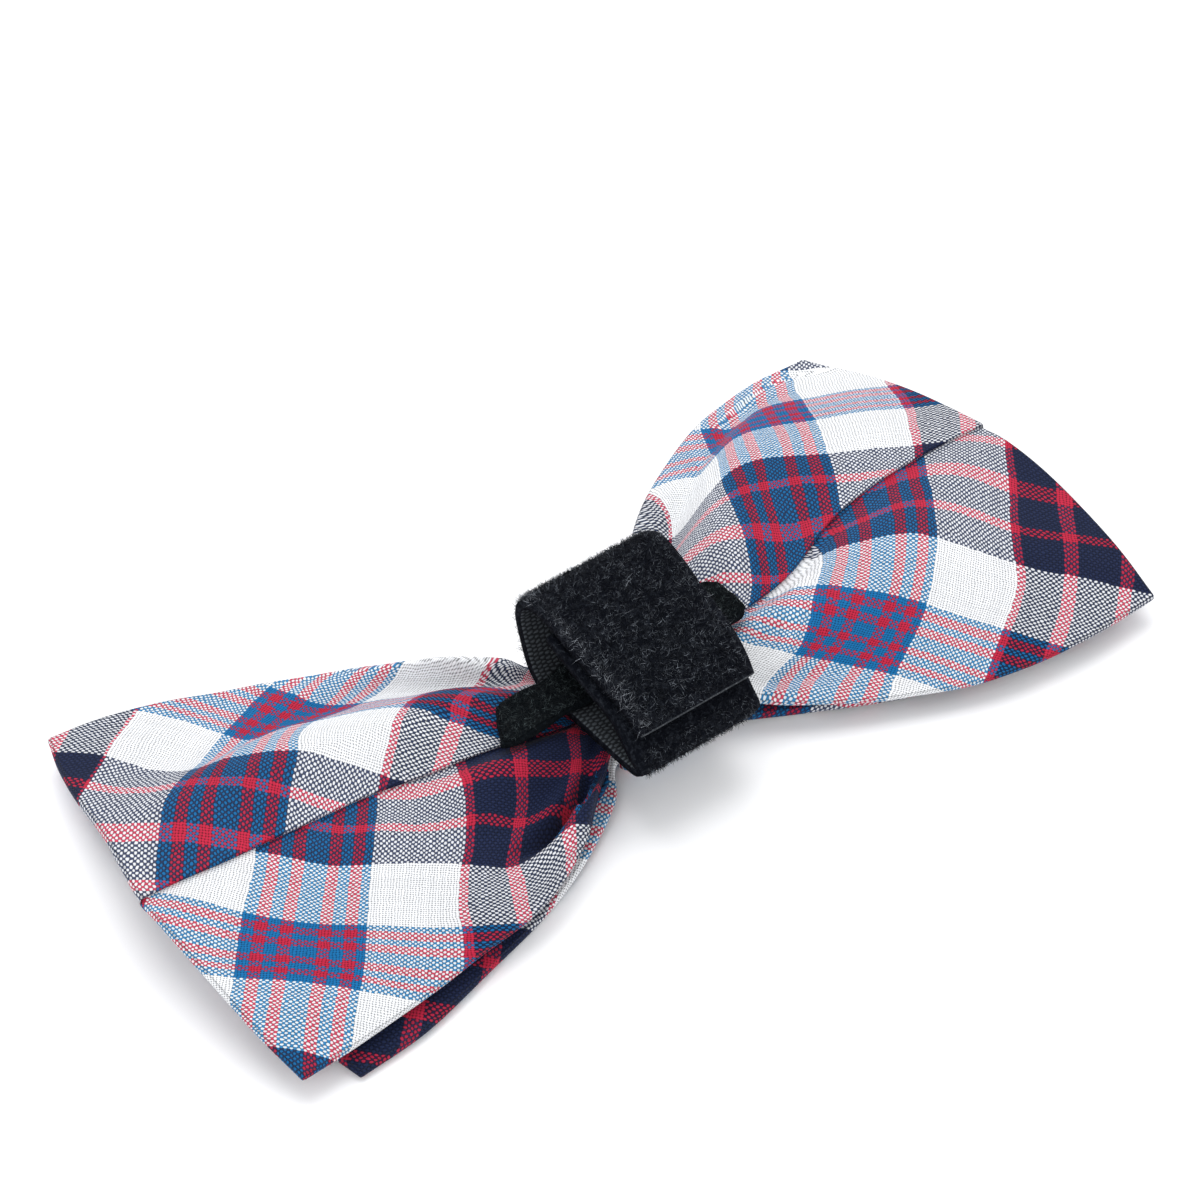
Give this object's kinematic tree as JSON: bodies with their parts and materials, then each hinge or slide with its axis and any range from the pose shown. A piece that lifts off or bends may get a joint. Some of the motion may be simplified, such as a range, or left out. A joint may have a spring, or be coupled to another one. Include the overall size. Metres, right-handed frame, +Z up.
{
  "type": "pet bow tie collar attachment",
  "caption": "Plaid cotton bow tie for a pet, lying face down, with a hook-and-loop strap loop on its back that slides onto a collar.",
  "frame": {"origin": "middle of the outline, on the surface that the bow lies on", "axes": "+X along the bow toward the right wing, +Y across it, away from the strap's free end, +Z up through the strap loop"},
  "size_m": [0.1306, 0.064, 0.022],
  "materials": {
    "plaid_cotton": "plain weave plaid cotton, navy, white, red and blue",
    "plaid_cotton_front": "plain weave plaid cotton, navy, white, red and blue",
    "plaid_cotton_band": "plain weave plaid cotton, navy, white, red and blue",
    "black_loop_tape": "fuzzy loop pile outside, woven inside",
    "black_felt": "brushed felt"
  },
  "bodies": {
    "root": {"back_bow": "plaid_cotton", "front_bow": "plaid_cotton_front", "centre_band": "plaid_cotton_band", "strap": "black_loop_tape", "retaining_tab": "black_felt"}
  },
  "joints": []
}
